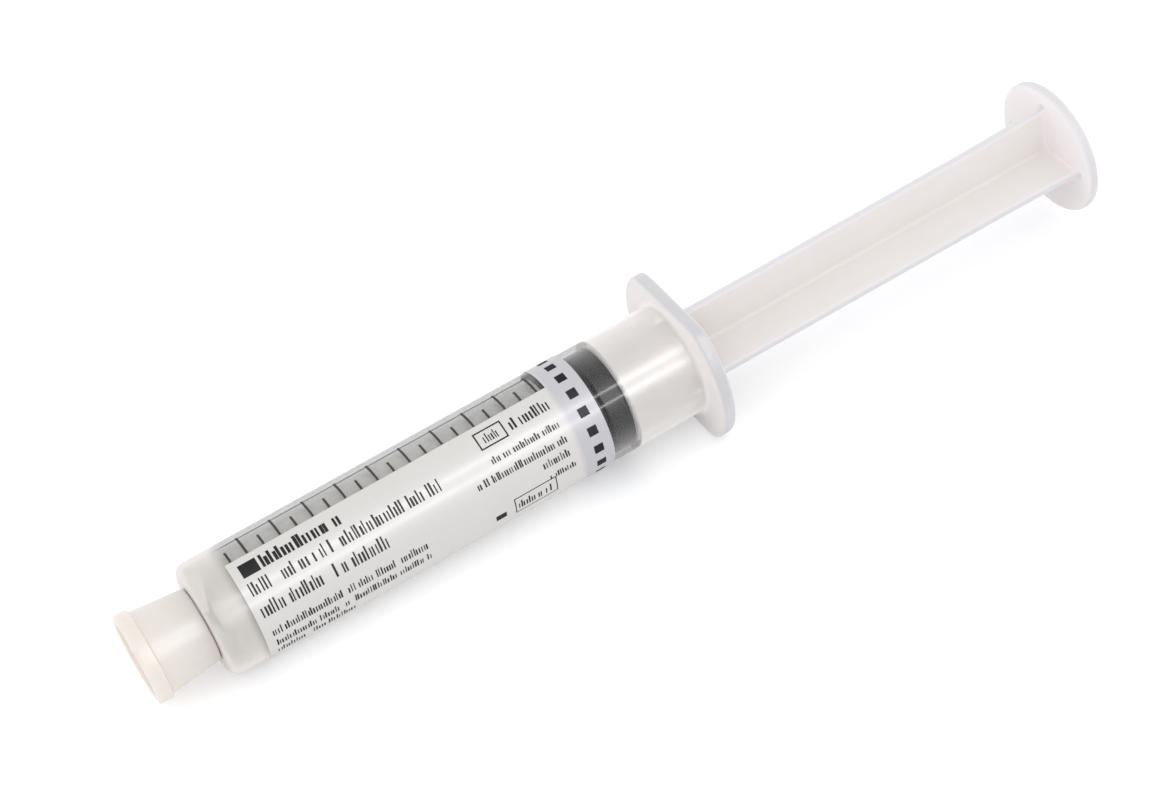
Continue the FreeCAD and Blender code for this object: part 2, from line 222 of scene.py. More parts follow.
def clearMaterial(name, look):
    paint = Paint(name)
    flow = paint.noise(look["flowCells"], stretch=clear["flowStretch"], detail=4.0)
    haze = paint.noise(look["hazeCells"], stretch=clear["hazeStretch"])
    colour = paint.mix(flow, look["shade"], look["light"])
    density = (paint.facing() ** look["edgeSharpness"]) * look["edgeDensity"] + look["density"]
    roughness = flow * clear["flowRoughness"] + look["roughness"]
    for start, full, shade, denser, rougher in look["zones"]:
        zone = paint.along(start, full)
        colour = paint.mix(zone, colour, shade)
        density = density + zone * denser
        roughness = roughness + zone * rougher
    return paint.finish({
        "Base Color": paint.withPaintedLight(colour, look),
        "Roughness": roughness,
        "IOR": look["bending"],
        "Alpha": (haze - 0.5) * look["haze"] + density,
        "Normal": paint.bump(flow, look["relief"]),
    })


barrelLook = {
    "light": tone(182, 180, 178), "shade": tone(168, 166, 164), "bending": 1.5,
    "flowCells": 700.0, "hazeCells": 160.0, "haze": 0.02, "relief": 0.003,
    "density": 0.045, "edgeDensity": 0.95, "edgeSharpness": 2.0, "roughness": 0.09,
    "zones": ((16.8, 13.2, tone(229, 223, 216), 0.58, 0.25),
              (75.4, 76.0, tone(243, 238, 234), 0.43, 0.2),
              (86.4, 87.2, tone(240, 235, 232), 0.35, 0.24)),
    # painted shade: rim paints the flange's outer edge darker
    "rim": tone(210, 209, 211),
}
barrelPlastic = clearMaterial("barrelPlastic", barrelLook)

salineLook = {
    "light": tone(232, 230, 224), "shade": tone(222, 220, 214), "bending": 1.33,
    "flowCells": 120.0, "hazeCells": 90.0, "haze": 0.1, "relief": 0.0,
    "density": 0.78, "edgeDensity": 0.2, "edgeSharpness": 3.0, "roughness": 0.05,
    # painted shade: the liquid is painted darker from 44 to 62 mm, towards the stopper, standing
    # in for the dark rubber seen in it
    "zones": ((44.0, 62.0, tone(212, 211, 207), 0.0, 0.0),),
}
salineWater = clearMaterial("salineWater", salineLook)


# Film, ink and rubber: a fine grain over slow clouds, with a coat of varnish on the film
grainy = {"grainShare": 0.4, "bending": 1.48, "coatRoughness": 0.24}


def grainyMaterial(name, look):
    paint = Paint(name)
    grain = paint.noise(look["grainCells"], stretch=look.get("stretch", (1, 1, 1)), detail=4.0)
    cloud = paint.noise(look["cloudCells"])
    mottle = grain * grainy["grainShare"] + cloud * (1 - grainy["grainShare"])
    colour = paint.mix(mottle, look["shade"], look["light"])
    return paint.finish({
        "Base Color": paint.withPaintedLight(colour, look),
        "Roughness": (grain - 0.5) * look["roughnessSpread"] + look["roughness"],
        "IOR": grainy["bending"],
        "Specular IOR Level": look["gloss"],
        "Coat Weight": look.get("coat", 0.0),
        "Coat Roughness": grainy["coatRoughness"],
        "Normal": paint.bump(grain, look["relief"]),
    })


labelLook = {
    "light": tone(221, 217, 213), "shade": tone(214, 210, 206), "grainCells": 1800.0,
    "cloudCells": 140.0, "stretch": (0.5, 1, 1), "roughness": 0.42, "roughnessSpread": 0.12,
    # painted shade: the band paints the film darker and cooler over its rear band, where the dark
    # stopper lies behind it
    "coat": 0.1, "relief": 0.004, "gloss": 0.2, "band": (65.6, 66.8, tone(196, 195, 198)),
}
labelFilm = grainyMaterial("labelFilm", labelLook)

inkLook = {
    "light": tone(38, 36, 38), "shade": tone(15, 15, 16), "grainCells": 5200.0,
    "cloudCells": 900.0, "roughness": 0.55, "roughnessSpread": 0.2, "relief": 0.002,
    "gloss": 0.15,
}
blackInk = grainyMaterial("blackInk", inkLook)
scaleLook = {**inkLook, "light": tone(84, 82, 82), "shade": tone(52, 50, 50)}
scaleInk = grainyMaterial("scaleInk", scaleLook)

rubberLook = {
    "light": tone(34, 34, 37), "shade": tone(26, 26, 28), "grainCells": 6000.0,
    "cloudCells": 260.0, "roughness": 0.5, "roughnessSpread": 0.2, "relief": 0.004,
    "gloss": 0.2,
}
stopperRubber = grainyMaterial("stopperRubber", rubberLook)
print("materials made")


# How finely shapes are drawn, and how much of a side a rounding may take
shaping = {
    "roundingSteps": 5, "mostOfSide": 0.49, "turns": 160, "crispAngle": 32,
    "threadSteps": 72, "ridgeSides": 10, "markCuts": 6,
}


# A line of (x, radius, rounding) corners with its roundings drawn in
def softened(corners, closed, steps=shaping["roundingSteps"]):
    line = []
    for i, corner in enumerate(corners):
        here = Vector(corner[:2])
        rounding = corner[2] if len(corner) > 2 else 0
        if not rounding or (not closed and i in (0, len(corners) - 1)):
            line.append(here)
            continue
        back = Vector(corners[i - 1][:2]) - here
        ahead = Vector(corners[(i + 1) % len(corners)][:2]) - here
        half = back.angle(ahead) / 2
        most = shaping["mostOfSide"] * min(back.length, ahead.length)
        reach = min(rounding / math.tan(half), most)
        radius = reach * math.tan(half)
        inward = (back.normalized() + ahead.normalized()).normalized()
        centre = here + inward * (radius / math.sin(half))
        first = here + back.normalized() * reach - centre
        last = here + ahead.normalized() * reach - centre
        for step in range(steps + 1):
            line.append(centre + first.lerp(last, step / steps).normalized() * radius)
    return line


# Smooth faces, with a crisp line wherever two meet at more than the crisp angle
def smoothed(piece):
    piece.data.shade_smooth()
    piece.data.set_sharp_from_angle(angle=math.radians(shaping["crispAngle"]))
    return piece


def placed(name, mesh):
    data = bpy.data.meshes.new(name)
    mesh.to_mesh(data)
    mesh.free()
    piece = bpy.data.objects.new(name, data)
    scene.collection.objects.link(piece)
    return piece


def finished(name, mesh):
    bmesh.ops.recalc_face_normals(mesh, faces=mesh.faces)
    return smoothed(placed(name, mesh))


# A place on the syringe: how far along it, the angle from +Z, and how far out
def spotAt(x, angle, out):
    return x * mm, math.sin(angle) * out * mm, math.cos(angle) * out * mm


# Faces between two rings of points, either of which may be a single point at a pole
def bridged(mesh, near, far):
    count = max(len(near), len(far))
    for i in range(count):
        after = (i + 1) % count
        corners = (near[i % len(near)], near[after % len(near)],
                   far[after % len(far)], far[i % len(far)])
        mesh.faces.new(list(dict.fromkeys(corners)))


# A closed bar through rings of points, with a face at each end
def skinned(mesh, rings):
    for near, far in zip(rings, rings[1:]):
        bridged(mesh, near, far)
    mesh.faces.new(rings[0])
    mesh.faces.new(rings[-1])


# Corners swept round the X axis; "reach" may draw a ring out to another outline
def turned(name, corners, turns=shaping["turns"], reach=None):
    closed = corners[0][1] > 0
    mesh = bmesh.new()
    rings = []
    for x, radius in softened(corners, closed):
        if radius < tiny:
            rings.append([mesh.verts.new((x * mm, 0, 0))])
            continue
        ring = []
        for turn in range(turns):
            angle = 2 * math.pi * turn / turns
            out = reach(radius, angle) if reach else radius
            ring.append(mesh.verts.new(spotAt(x, angle, out)))
        rings.append(ring)
    if closed:
        rings.append(rings[0])
    for near, far in zip(rings, rings[1:]):
        bridged(mesh, near, far)
    return finished(name, mesh)


# The evaluated object as a plain mesh, with its modifiers gone
def plain(piece):
    bpy.context.view_layer.update()
    seen = piece.evaluated_get(bpy.context.evaluated_depsgraph_get())
    data = bpy.data.meshes.new_from_object(seen)
    piece.modifiers.clear()
    piece.data = data
    return piece


def united(piece, others):
    for other in others:
        union = piece.modifiers.new("union", "BOOLEAN")
        union.operation = "UNION"
        union.solver = "EXACT"
        union.object = other
    plain(piece)
    for other in others:
        bpy.data.objects.remove(other)
    return piece


def joined(name, pieces):
    mesh = bmesh.new()
    for piece in pieces:
        mesh.from_mesh(piece.data)
        bpy.data.objects.remove(piece)
    return finished(name, mesh)


# How close each point lies to an outer edge, kept on the mesh for its plastic to read as painted
# shade: the outer edges are painted darker, greyer like plastic seen edge on
def markedForEdgeShade(piece, edgeAt, width):
    rim = piece.data.attributes.new("rim", "FLOAT", "POINT")
    for point, share in zip(piece.data.vertices, rim.data):
        x, y, z = point.co / mm
        inside = edgeAt(x, math.atan2(y, z)) - math.hypot(y, z)
        share.value = min(max(1 - inside / width, 0), 1)
    return piece


def dressed(piece, material, body, slot, *nodes):
    piece.data.materials.clear()
    piece.data.materials.append(material)
    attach(piece, body)
    if nodes:
        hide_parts(*nodes)
    return piece


# Geometry Nodes trees, with their sizes as named inputs
socketKinds = {
    "geometry": "NodeSocketGeometry", "length": "NodeSocketFloat",
    "count": "NodeSocketInt", "material": "NodeSocketMaterial",
}


class Recipe(Graph):
    def __init__(self, name, inputs):
        self.tree = bpy.data.node_groups.new(name, "GeometryNodeTree")
        panel = self.tree.interface
        for title, kind in inputs.items():
            panel.new_socket(title, in_out="INPUT", socket_type=socketKinds[kind])
        panel.new_socket("Geometry", in_out="OUTPUT", socket_type=socketKinds["geometry"])
        super().__init__(self.tree.nodes, self.tree.links)
        self.source = self.nodes.new("NodeGroupInput")

    def size(self, title):
        return Wire(self, self.source.outputs[title])

    def vector(self, x, y, z):
        return self.node("ShaderNodeCombineXYZ", {}, {"X": x, "Y": y, "Z": z})

    def chance(self, seed, low=0.0, high=1.0):
        settings = {"data_type": "FLOAT"}
        return self.node("FunctionNodeRandomValue", settings, {2: low, 3: high, "Seed": seed}, 1)

    # Points in a row, one for each mark
    def row(self, start, step):
        return self.node("GeometryNodeMeshLine", {"mode": "OFFSET"}, {
            "Count": self.size("Count"), "Start Location": start, "Offset": step})

    def rowAlong(self):
        return self.row(self.vector(self.size("Start"), 0.0, 0.0),
                        self.vector(self.size("Pitch"), 0.0, 0.0))

    def moved(self, geometry, offset):
        return self.node("GeometryNodeSetPosition", {}, {"Geometry": geometry, "Offset": offset})

    # A block on each point, cut up across so that it can bend round the barrel
    def stamped(self, points, scale):
        block = self.node("GeometryNodeMeshCube", {}, {
            "Size": (1.0, 1.0, 1.0), "Vertices X": 2, "Vertices Y": shaping["markCuts"],
            "Vertices Z": 2})
        stamps = self.node("GeometryNodeInstanceOnPoints", {}, {
            "Points": points, "Instance": block, "Scale": scale})
        return self.node("GeometryNodeRealizeInstances", {}, {"Geometry": stamps})

    def result(self, geometry):
        out = self.nodes.new("NodeGroupOutput")
        self.links.new(geometry.socket, out.inputs[0])
        return self.tree

    def finish(self, geometry, ink):
        real = self.node("GeometryNodeRealizeInstances", {}, {"Geometry": geometry})
        return self.result(self.node("GeometryNodeSetMaterial", {}, {
            "Geometry": real, "Material": ink}))


# A tree's inputs are set by their identifiers, and its result is kept as a plain mesh
def grown(name, tree, sizes):
    piece = bpy.data.objects.new(name, bpy.data.meshes.new(name))
    scene.collection.objects.link(piece)
    growth = piece.modifiers.new("growth", "NODES")
    growth.node_group = tree
    for socket in tree.interface.items_tree:
        if socket.in_out == "INPUT":
            growth[socket.identifier] = sizes[socket.name]
    return plain(piece)


# Bends a flat print onto the barrel: x stays, y runs round it and z stands out from it
def bendingTree():
    recipe = Recipe("bendRound", {"Geometry": "geometry", "Radius": "length"})
    radius = recipe.size("Radius")
    here = {"Vector": recipe.node("GeometryNodeInputPosition", {}, {})}
    x, y, z = (recipe.node("ShaderNodeSeparateXYZ", {}, here, axis) for axis in "XYZ")
    angle = y / radius
    out = radius + z
    sine = recipe.node("ShaderNodeMath", {"operation": "SINE"}, {0: angle})
    cosine = recipe.node("ShaderNodeMath", {"operation": "COSINE"}, {0: angle})
    bent = recipe.vector(x, sine * out, cosine * out)
    return recipe.result(recipe.node("GeometryNodeSetPosition", {}, {
        "Geometry": recipe.size("Geometry"), "Position": bent}))


bendRound = bendingTree()


def wrapped(recipe, marks):
    around = recipe.node("GeometryNodeGroup", {"node_tree": bendRound}, {
        "Geometry": marks, "Radius": recipe.size("Radius")})
    return recipe.finish(around, recipe.size("Ink"))


markLift = 0.7  # a mark's middle stands this share of its depth above the surface
strokeHabits = {  # how the strokes of a row of print differ, as shares of their own sizes
    "gaps": 0.11, "lowShare": 0.62, "lowBy": 0.3, "narrowest": 0.75, "widest": 1.35, "drift": 0.14,
}


# The scale: long and short marks by turns, all from one line along the barrel
def scaleTree():
    recipe = Recipe("scaleMarks", {
        "Count": "count", "Start": "length", "Pitch": "length", "Base": "length",
        "Long": "length", "Short": "length", "Width": "length", "Depth": "length",
        "Radius": "length", "Ink": "material"})
    depth = recipe.size("Depth")
    number = recipe.node("GeometryNodeInputIndex", {}, {})
    whole = recipe.node("ShaderNodeMath", {"operation": "MODULO"}, {0: number, 1: 2.0})
    tall = recipe.size("Short") + whole * (recipe.size("Long") - recipe.size("Short"))
    lifted = recipe.moved(recipe.rowAlong(), recipe.vector(
        0.0, recipe.size("Base") + tall * 0.5, depth * markLift))
    marks = recipe.stamped(lifted, recipe.vector(recipe.size("Width"), tall, depth))
    return wrapped(recipe, marks)


# One row of print: plain upright strokes of two heights, with gaps where words would end
def rowTree():
    recipe = Recipe("printRow", {
        "Count": "count", "Seed": "count", "Start": "length", "Pitch": "length",
        "Base": "length", "Height": "length", "Width": "length", "Depth": "length",
        "Radius": "length", "Ink": "material"})
    seed, depth, habits = recipe.size("Seed"), recipe.size("Depth"), strokeHabits
    spaced = recipe.node("GeometryNodeDeleteGeometry", {"domain": "POINT"}, {
        "Geometry": recipe.rowAlong(), "Selection": recipe.chance(seed) < habits["gaps"]})
    low = recipe.chance(seed + 1) < habits["lowShare"]
    tall = recipe.size("Height") * (1.0 - low * habits["lowBy"])
    wide = recipe.size("Width") * recipe.chance(seed + 2, habits["narrowest"], habits["widest"])
    drift = recipe.size("Pitch") * recipe.chance(seed + 3, -habits["drift"], habits["drift"])
    lifted = recipe.moved(spaced, recipe.vector(
        drift, recipe.size("Base") + tall * 0.5, depth * markLift))
    strokes = recipe.stamped(lifted, recipe.vector(wide, tall, depth))
    return wrapped(recipe, strokes)


# The squares round the label's rear band
def squaresTree():
    recipe = Recipe("bandSquares", {
        "Count": "count", "Place": "length", "First": "length", "Pitch": "length",
        "Long": "length", "Wide": "length", "Depth": "length", "Radius": "length",
        "Ink": "material"})
    depth = recipe.size("Depth")
    start = recipe.vector(recipe.size("Place"), recipe.size("First"), depth * markLift)
    line = recipe.row(start, recipe.vector(0.0, recipe.size("Pitch"), 0.0))
    squares = recipe.stamped(line, recipe.vector(recipe.size("Long"), recipe.size("Wide"), depth))
    return wrapped(recipe, squares)


# One ridge of the double-start luer thread
def threadTree():
    recipe = Recipe("luerThread", {
        "Start": "length", "Length": "length", "Turns": "length", "Radius": "length",
        "Ridge": "length", "Phase": "length", "Plastic": "material"})
    radius = recipe.size("Radius")
    helix = recipe.node("GeometryNodeCurveSpiral", {}, {
        "Resolution": shaping["threadSteps"], "Rotations": recipe.size("Turns"),
        "Start Radius": radius, "End Radius": radius, "Height": recipe.size("Length")})
    section = recipe.node("GeometryNodeCurvePrimitiveCircle", {}, {
        "Resolution": shaping["ridgeSides"], "Radius": recipe.size("Ridge")})
    ridge = recipe.node("GeometryNodeCurveToMesh", {}, {
        "Curve": helix, "Profile Curve": section, "Fill Caps": True})
    spun = recipe.node("GeometryNodeTransform", {}, {
        "Geometry": ridge, "Rotation": recipe.vector(0.0, 0.0, recipe.size("Phase"))})
    laid = recipe.node("GeometryNodeTransform", {}, {
        "Geometry": spun, "Rotation": (0.0, math.pi / 2, 0.0),
        "Translation": recipe.vector(recipe.size("Start"), 0.0, 0.0)})
    return recipe.finish(laid, recipe.size("Plastic"))


# The barrel, with the finger flange's two flats and the thread inside the collar
barrel = {
    "radius": 8.75, "bore": 7.835, "front": 8.9, "rear": 89.2,
    "lumen": 1.05, "tip": 1.985, "tipRoot": 2.252,
    "collarFront": 2.1, "collar": 4.95, "collarBore": 4.0,
    "boreFloor": 10.5, "coneRim": 12.6, "shoulder": 1.45, "mouthBevel": 0.45,
    "flangeFront": 87.1, "flangeReach": 13.3, "flangeFlat": 10.65, "flangeRim": 0.55,
    "flangeRoot": 0.8, "flangeBlend": 2.5, "flangeSlack": 0.05, "edgeShadeWidth": 0.5,
    "ringPlace": 86.6, "ringBore": 7.715, "ringRise": 0.75,
    "threadStart": 2.6, "threadLength": 5.4, "threadTurns": 1.08, "threadRidge": 0.42,
}


# How far the flange reaches at an angle from +Z: its round ends meet its flats softly
def flangeOutline(radius, angle):
    span, flat, blend = barrel["flangeReach"], barrel["flangeFlat"], barrel["flangeBlend"]
    toFlat = flat / max(abs(math.cos(angle)), 1e-3)  # kept finite straight across the flats
    nearer = math.exp(-blend * (span - flat)) + math.exp(-blend * (toFlat - flat))
    edge = -math.log(nearer) / blend
    start = barrel["radius"] + barrel["flangeRoot"]
    full = span - barrel["flangeRim"] - barrel["flangeSlack"]
    share = min(max((radius - start) / (full - start), 0), 1)
    return radius + share * (edge + flat - span)


def makeBarrel(size):
    wall, bore, lumen = size["radius"], size["bore"], size["lumen"]
    front, rear, flangeFront = size["front"], size["rear"], size["flangeFront"]
    collarFront, collar, collarBore = size["collarFront"], size["collar"], size["collarBore"]
    reach, rim = size["flangeReach"], size["flangeRim"]
    ring, rise, bevel = size["ringPlace"], size["ringRise"], size["mouthBevel"]
    shell = turned("barrelShell", [
        (0, lumen, 0.1), (0, size["tip"], 0.2),
        (front, size["tipRoot"], 0.2), (front, collarBore, 0.2),
        (collarFront, collarBore, 0.15), (collarFront, collar, 0.25),
        (front, collar, 0.25), (front, wall, size["shoulder"]),
        (flangeFront, wall, size["flangeRoot"]), (flangeFront, reach, rim), (rear, reach, rim),
        (rear, bore + bevel, 0.15), (rear - bevel, bore, 0.3),
        (ring + rise, bore, 0.5), (ring, size["ringBore"], 0.4), (ring - rise, bore, 0.5),
        (size["coneRim"], bore, 0.6), (size["boreFloor"], lumen, 0.3),
    ], turns=180, reach=flangeOutline)
    ridges = []
    thread = threadTree()
    for phase in (0, math.pi):
        ridges.append(grown("threadRidge", thread, {
            "Start": size["threadStart"] * mm, "Length": size["threadLength"] * mm,
            "Turns": size["threadTurns"], "Radius": collarBore * mm,
            "Ridge": size["threadRidge"] * mm, "Phase": phase, "Plastic": barrelPlastic}))
    moulding = joined("barrelMoulding", [shell] + ridges)
    # Painted shade: the flange's outer edge is marked to be painted darker
    return markedForEdgeShade(moulding, lambda x, angle: flangeOutline(reach, angle), size["edgeShadeWidth"])


dressed(makeBarrel(barrel), barrelPlastic, "barrel", "clear_barrel", "barrel")
print("barrel made")


# The label: a thin film round the barrel, open along the scale but for its rear band
label = {
    "front": 14.6, "rear": 71.2, "bandFront": 66.2, "inside": 8.76, "outside": 8.85,
    "windowFrom": -6.8, "windowTo": 69.5, "turnStep": 2.5,
}


def makeLabel(size):
    windowFrom, windowTo, outside = size["windowFrom"], size["windowTo"], size["outside"]
    angles = []
    for start, end in ((windowFrom, windowTo), (windowTo, windowFrom + 360)):
        steps = round((end - start) / size["turnStep"])
        angles += [start + (end - start) * step / steps for step in range(steps)]
    places = (size["front"], size["bandFront"], size["rear"])
    mesh = bmesh.new()
    columns = []
    for degrees in angles:
        angle = math.radians(degrees)
        columns.append([mesh.verts.new(spotAt(x, angle, outside)) for x in places])
    for i, degrees in enumerate(angles):
        column, after = columns[i], columns[(i + 1) % len(columns)]
        if degrees > windowTo - tiny:
            mesh.faces.new((column[0], column[1], after[1], after[0]))
        mesh.faces.new((column[1], column[2], after[2], after[1]))
    loose = [vertex for vertex in mesh.verts if not vertex.link_faces]
    bmesh.ops.delete(mesh, geom=loose, context="VERTS")
    film = finished("labelSheet", mesh)
    wall = film.modifiers.new("wall", "SOLIDIFY")
    wall.thickness = (outside - size["inside"]) * mm
    wall.offset = -1
    return smoothed(plain(film))


dressed(makeLabel(label), labelFilm, "barrel", "label_film", "label")
print("label made")


# Print. Places round the barrel are angles from +Z, and grow less towards -Y
printing = {
    "depth": 0.012, "scaleStart": 15.585, "scalePitch": 2.593, "scaleMarks": 20,
    "markWidth": 0.36, "markBase": -6.0, "longTop": 22.5, "shortTop": 8.6,
    "squares": 18, "squareLong": 1.5, "squareWide": 1.425, "squarePlace": 68.9,
    "squareFirst": -6.0, "patchStep": 2.0, "patchSkin": (0.2, 1.2),
    "firstSeed": 3, "seedStep": 10,
}
strokeKinds = {
    "bold": {"pitch": 0.66, "width": 0.40},
    "text": {"pitch": 0.54, "width": 0.25},
    "fine": {"pitch": 0.40, "width": 0.19},
}
# A row is its kind, where it starts and ends, and the angles of its top and bottom
rows = [
    ("bold", 19.2, 32.3, -14.0, -27.0), ("text", 15.9, 28.9, -33.0, -45.5),
    ("text", 29.9, 47.0, -33.0, -45.5), ("text", 15.9, 26.2, -54.0, -67.4),
    ("text", 27.4, 36.2, -54.0, -67.4), ("fine", 16.0, 40.9, -80.7, -89.5),
    ("fine", 16.1, 41.1, -95.5, -104.5), ("fine", 16.0, 28.6, -109.0, -119.0),
    ("text", 58.9, 65.4, -17.0, -28.6), ("fine", 53.9, 65.4, -40.8, -47.6),
    ("fine", 50.0, 65.4, -55.5, -63.0), ("fine", 59.2, 65.4, -68.5, -76.5),
    ("fine", 60.8, 65.4, -84.4, -90.5), ("fine", 54.2, 57.2, -18.0, -27.5),
    ("fine", 55.2, 60.9, -95.0, -105.5),
]
# Frames have the width of their line last
frames = [(53.4, 57.9, -13.7, -32.0, 0.22), (54.5, 61.5, -89.4, -111.0, 0.16)]
blocks = [(15.9, 18.6, -14.0, -27.5), (51.3, 53.0, -99.0, -106.0)]


def arc(degrees, radius):
    return math.radians(degrees) * radius * mm


# A thin patch of ink between two places and two angles, a little sunk in the surface
def patch(mesh, fromX, toX, top, bottom):
    steps = max(2, round(abs(top - bottom) / printing["patchStep"]))
    under, over = (label["outside"] + printing["depth"] * share for share in printing["patchSkin"])
    rings = []
    for step in range(steps + 1):
        angle = math.radians(bottom + (top - bottom) * step / steps)
        corners = ((fromX, under), (toX, under), (toX, over), (fromX, over))
        rings.append([mesh.verts.new(spotAt(x, angle, out)) for x, out in corners])
    skinned(mesh, rings)


def makePatches(name):
    mesh = bmesh.new()
    for fromX, toX, top, bottom in blocks:
        patch(mesh, fromX, toX, top, bottom)
    for fromX, toX, top, bottom, line in frames:
        turn = math.degrees(line / label["outside"])
        patch(mesh, fromX, toX, top, top - turn)
        patch(mesh, fromX, toX, bottom + turn, bottom)
        patch(mesh, fromX, fromX + line, top - turn, bottom + turn)
        patch(mesh, toX - line, toX, top - turn, bottom + turn)
    return finished(name, mesh)


def makeScale(size):
    radius, base = barrel["radius"], size["markBase"]
    return grown("scaleMarks", scaleTree(), {
        "Count": size["scaleMarks"], "Start": size["scaleStart"] * mm,
        "Pitch": size["scalePitch"] * mm, "Base": arc(base, radius),
        "Long": arc(size["longTop"] - base, radius), "Short": arc(size["shortTop"] - base, radius),
        "Width": size["markWidth"] * mm, "Depth": size["depth"] * mm, "Radius": radius * mm,
        "Ink": scaleInk})


def makePrint(size):
    radius = label["outside"]
    tree = rowTree()
    pieces = [makePatches("patches")]
    for number, (kind, fromX, toX, top, bottom) in enumerate(rows):
        stroke = strokeKinds[kind]
        pieces.append(grown("row", tree, {
            "Count": int((toX - fromX) / stroke["pitch"]),
            "Seed": number * size["seedStep"] + size["firstSeed"],
            "Start": fromX * mm, "Pitch": stroke["pitch"] * mm, "Base": arc(bottom, radius),
            "Height": arc(top - bottom, radius), "Width": stroke["width"] * mm,
            "Depth": size["depth"] * mm, "Radius": radius * mm, "Ink": blackInk}))
    pieces.append(grown("squares", squaresTree(), {
        "Count": size["squares"], "Place": size["squarePlace"] * mm,
        "First": arc(size["squareFirst"], radius), "Pitch": arc(360 / size["squares"], radius),
        "Long": size["squareLong"] * mm, "Wide": size["squareWide"] * mm,
        "Depth": size["depth"] * mm, "Radius": radius * mm, "Ink": blackInk}))
    return joined("labelPrint", pieces)


dressed(makeScale(printing), scaleInk, "barrel", "clear_barrel")
dressed(makePrint(printing), blackInk, "barrel", "label_film")
print("print laid round the barrel")


# The rubber stopper: three rings, a conical nose and the socket for the rod's knob
stopper = {
    "nose": 63.79, "noseFlat": 1.2, "noseStep": 0.5, "ringFront": 65.89, "rear": 75.59,
    "ring": 7.805, "waist": 7.255, "frontRing": 1.9, "middleRing": (3.5, 4.7), "rearRing": 3.3,
    "ringSlope": 0.3, "ringRounding": 0.3, "waistRounding": 0.35,
    "socketMouth": 2.3, "socketNeck": 2.3, "socket": 3.6, "socketFull": 4.7, "socketTip": 2.1,
    "socketDepth": 6.0,
}


def makeStopper(size):
    front, rear, ring, waist = size["ringFront"], size["rear"], size["ring"], size["waist"]
    slope, crest, hollow = size["ringSlope"], size["ringRounding"], size["waistRounding"]
    middleFrom, middleTo = (front + place for place in size["middleRing"])
    frontEnd, rearStart = front + size["frontRing"], rear - size["rearRing"]
    mouth, wide = size["socketMouth"], size["socket"]
    neck, full, deep = (rear - size[key] for key in ("socketNeck", "socketFull", "socketDepth"))
    return turned("stopperMoulding", [
        (size["nose"], 0), (size["nose"], size["noseFlat"], 0.5),
        (front, ring - size["noseStep"], crest),
        (front + slope, ring, crest), (frontEnd, ring, crest), (frontEnd + slope, waist, hollow),
        (middleFrom - slope, waist, hollow), (middleFrom, ring, crest), (middleTo, ring, crest),
        (middleTo + slope, waist, hollow), (rearStart - slope, waist, hollow),
        (rearStart, ring, crest), (rear, ring, crest),
        (rear, mouth, 0.15), (neck, mouth, 0.1), (neck, wide, 0.3), (full, wide, 0.3),
        (deep, size["socketTip"], 0.2), (deep, 0),
    ])


dressed(makeStopper(stopper), stopperRubber, "plunger", "stopper_rubber", "stopper")
print("stopper made")


# The plunger rod: knob, disc, four widening ribs and the thumb pad, in one moulding
rod = {
    "knobFront": 69.69, "knobTip": 2.0, "knobFull": 70.99, "knobRear": 73.19, "knob": 3.5,
    "neck": 2.2, "discFront": 75.59, "discRear": 76.49, "disc": 7.4,
    "ribStations": ((76.0, 7.35), (142.24, 7.6), (153.3, 7.86), (154.3, 8.0), (154.9, 8.25),
                    (155.2, 8.6), (155.35, 9.1), (156.1, 9.1)),
    "ribHalf": 0.65, "ribRoot": 0.7, "ribEdge": 0.4,
    "padFront": 155.24, "padRear": 157.04, "pad": 10.75, "padEdge": 0.6,
    "grooves": (7.0, 4.0), "grooveHalf": 0.35, "grooveDepth": 0.25,
    "edgeShadeWidth": 0.4, "edgeSlack": 0.02,
}


# The cross of the ribs at one place, as (y, z) points
def crossSection(size, reach):
    half, edge = size["ribHalf"], size["ribEdge"]
    quarter = [(half, half, size["ribRoot"]), (half, reach, edge), (-half, reach, edge)]
    corners = []
    for cosine, sine in ((1, 0), (0, 1), (-1, 0), (0, -1)):
        for y, z, rounding in quarter:
            corners.append((y * cosine - z * sine, y * sine + z * cosine, rounding))
    return softened(corners, closed=True, steps=4)


def makeRibs(size):
    mesh = bmesh.new()
    rings = []
    for x, reach in size["ribStations"]:
        cross = crossSection(size, reach)
        rings.append([mesh.verts.new((x * mm, y * mm, z * mm)) for y, z in cross])
    skinned(mesh, rings)
    return finished("ribs", mesh)


# How far out the rod's edge lies at a place: the ribs' edges, and past them the pad's
def rodEdge(x, angle):
    if x > rod["padFront"] - rod["edgeSlack"]:
        return rod["pad"]
    stations = rod["ribStations"]
    for (start, low), (end, high) in zip(stations, stations[1:]):
        if start <= x <= end:
            return low + (high - low) * (x - start) / (end - start)
    return stations[0][1]


def makeRod(size):
    knob, neck, disc = size["knob"], size["neck"], size["disc"]
    knobFront, knobRear, discFront = size["knobFront"], size["knobRear"], size["discFront"]
    front = turned("rodMoulding", [
        (knobFront, 0), (knobFront, size["knobTip"], 0.4), (size["knobFull"], knob, 0.5),
        (knobRear, knob, 0.3), (knobRear, neck, 0.2), (discFront, neck, 0.2),
        (discFront, disc, 0.15), (size["discRear"], disc, 0.15), (size["discRear"], 0),
    ], turns=128)
    rear, pad, edge = size["padRear"], size["pad"], size["padEdge"]
    half, floor = size["grooveHalf"], rear - size["grooveDepth"]
    face = []
    for groove in size["grooves"]:
        face += [(rear, groove + half, 0.15), (floor, groove, 0.2), (rear, groove - half, 0.15)]
    corners = [(size["padFront"], 0), (size["padFront"], pad, edge), (rear, pad, edge)]
    thumbPad = turned("pad", corners + face + [(rear, 0)])
    # Painted shade: the outer edges of the ribs and pad are marked to be painted darker
    return markedForEdgeShade(smoothed(united(front, [makeRibs(size), thumbPad])), rodEdge, size["edgeShadeWidth"])


